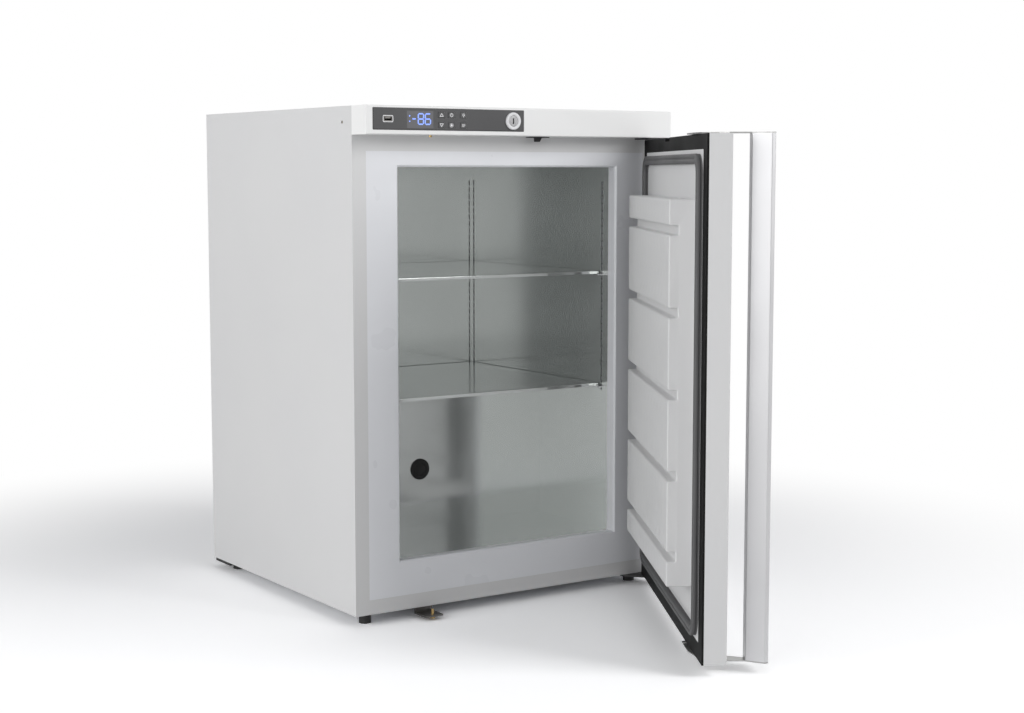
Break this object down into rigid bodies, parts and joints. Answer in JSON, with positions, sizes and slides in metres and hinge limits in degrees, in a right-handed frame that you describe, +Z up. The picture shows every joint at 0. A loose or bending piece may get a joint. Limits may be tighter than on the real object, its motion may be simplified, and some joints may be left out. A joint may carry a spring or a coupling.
{
  "type": "ultra low temperature freezer",
  "caption": "Compact upright ultra low temperature freezer with a steel-lined chamber, lift-out shelves, a thick insulated door on hinges, a cam latch handle and a top control panel.",
  "frame": {"origin": "on the floor, midway between the four feet", "axes": "+X to the right seen from the front, +Y towards the back, +Z up; the door stands open at rest"},
  "size_m": [0.605, 1.1055, 0.831],
  "materials": {
    "white_paint": "smooth semi-gloss powder coat",
    "zinc_sheet": "galvanised sheet",
    "stainless": "bright polished stainless sheet",
    "pale_plastic": "smooth satin",
    "white_plastic": "smooth matt",
    "black_plastic": "satin",
    "black_paint": "satin black",
    "gasket_rubber": "soft matt",
    "black_rubber": "matt",
    "foam": "rigid closed-cell foam",
    "panel_film": "satin film",
    "display_lens": "dark lens",
    "key_plastic": "satin",
    "board": "circuit board",
    "bright_steel": "polished",
    "brass": "turned",
    "aluminium_grip": "satin anodised",
    "aluminium_fins": "mill finish",
    "copper_tube": "drawn copper"
  },
  "bodies": {
    "cabinet": {"side_panel_left": "white_paint", "side_panel_right": "white_paint", "top_panel": "white_paint", "base_pan": "zinc_sheet", "back_panel": "zinc_sheet", "service_panel": "zinc_sheet", "front_rails": "white_paint", "feet": "black_rubber", "breaker_frame": "pale_plastic", "liner_side_walls": "stainless", "liner_ceiling": "stainless", "liner_back": "stainless", "liner_hump": "stainless", "liner_floor": "stainless", "pilaster_channels": "stainless", "insulation": "foam", "port_tube": "white_plastic", "shelf_clips": "stainless", "bay_wall": "zinc_sheet", "fascia": "white_paint", "control_overlay": "panel_film", "display_window": "display_lens", "controller_board": "board", "usb_socket": "bright_steel", "lock_ring": "white_plastic", "catch_bracket": "black_paint", "catch_pins": "brass", "hinge_plates": "black_paint", "hinge_pins": "bright_steel", "compressors": "black_paint", "compressor_mounts": "black_rubber", "condenser_fins": "aluminium_fins", "condenser_coil": "aluminium_fins", "refrigerant_lines": "copper_tube", "fan_shroud": "zinc_sheet", "fan_motor": "black_plastic", "power_inlet": "black_plastic"},
    "port_plug": {"port_plug": "black_rubber"},
    "shelf_upper": {"shelf_upper": "stainless"},
    "shelf_lower": {"shelf_lower": "stainless"},
    "lock_barrel": {"lock_barrel": "bright_steel"},
    "lock_bar": {"lock_bar": "black_paint"},
    "fan": {"fan": "black_plastic"},
    "door": {"door_skin": "white_paint", "door_foam": "foam", "door_frame": "black_plastic", "door_inner_plate": "white_plastic", "door_gasket": "gasket_rubber", "door_block": "white_plastic", "door_bushes": "brass", "lock_keeper": "black_plastic"},
    "latch": {"handle_grip": "aluminium_grip", "latch_plates": "zinc_sheet", "latch_pivots": "bright_steel"},
    "key_1": {"key_1": "key_plastic"},
    "key_2": {"key_2": "key_plastic"},
    "key_3": {"key_3": "key_plastic"},
    "key_4": {"key_4": "key_plastic"},
    "key_5": {"key_5": "key_plastic"},
    "key_6": {"key_6": "key_plastic"}
  },
  "joints": [
    {"name": "door_hinge", "type": "hinge", "parent": "cabinet", "child": "door", "pos_m": [0.285, -0.2925, 0.018], "axis": [0, 0, 1], "range_deg": [-60.2, 50]},
    {"name": "latch_pivot", "type": "hinge", "parent": "door", "child": "latch", "pos_m": [0.04744, -0.71535, 0.018], "axis": [0, 0, 1], "range_deg": [-15, 0]},
    {"name": "lock_turn", "type": "hinge", "parent": "cabinet", "child": "lock_barrel", "pos_m": [-0.0282, -0.3085, 0.8099], "axis": [0, 1, 0], "range_deg": [0, 90]},
    {"name": "lock_slide", "type": "slide", "parent": "cabinet", "child": "lock_bar", "axis": [1, 0, 0], "range_m": [0, 0.0184]},
    {"name": "fan_spin", "type": "hinge", "parent": "cabinet", "child": "fan", "pos_m": [0.18001, 0.1835, 0.146], "axis": [0, 1, 0], "continuous": true},
    {"name": "port_plug_pull", "type": "slide", "parent": "cabinet", "child": "port_plug", "axis": [0, -1, 0], "range_m": [0, 0.06]},
    {"name": "shelf_upper_lift", "type": "slide", "parent": "cabinet", "child": "shelf_upper", "axis": [0, 0, 1], "range_m": [0, 0.012]},
    {"name": "shelf_lower_lift", "type": "slide", "parent": "cabinet", "child": "shelf_lower", "axis": [0, 0, 1], "range_m": [0, 0.012]},
    {"name": "key_1_press", "type": "slide", "parent": "cabinet", "child": "key_1", "axis": [0, 1, 0], "range_m": [0, 0.0005], "stiffness_N_per_m": 800},
    {"name": "key_2_press", "type": "slide", "parent": "cabinet", "child": "key_2", "axis": [0, 1, 0], "range_m": [0, 0.0005], "stiffness_N_per_m": 800},
    {"name": "key_3_press", "type": "slide", "parent": "cabinet", "child": "key_3", "axis": [0, 1, 0], "range_m": [0, 0.0005], "stiffness_N_per_m": 800},
    {"name": "key_4_press", "type": "slide", "parent": "cabinet", "child": "key_4", "axis": [0, 1, 0], "range_m": [0, 0.0005], "stiffness_N_per_m": 800},
    {"name": "key_5_press", "type": "slide", "parent": "cabinet", "child": "key_5", "axis": [0, 1, 0], "range_m": [0, 0.0005], "stiffness_N_per_m": 800},
    {"name": "key_6_press", "type": "slide", "parent": "cabinet", "child": "key_6", "axis": [0, 1, 0], "range_m": [0, 0.0005], "stiffness_N_per_m": 800}
  ],
  "couplings": [
    {"joint": "lock_slide", "follows": "lock_turn", "m_per_rad": 0.011704}
  ]
}
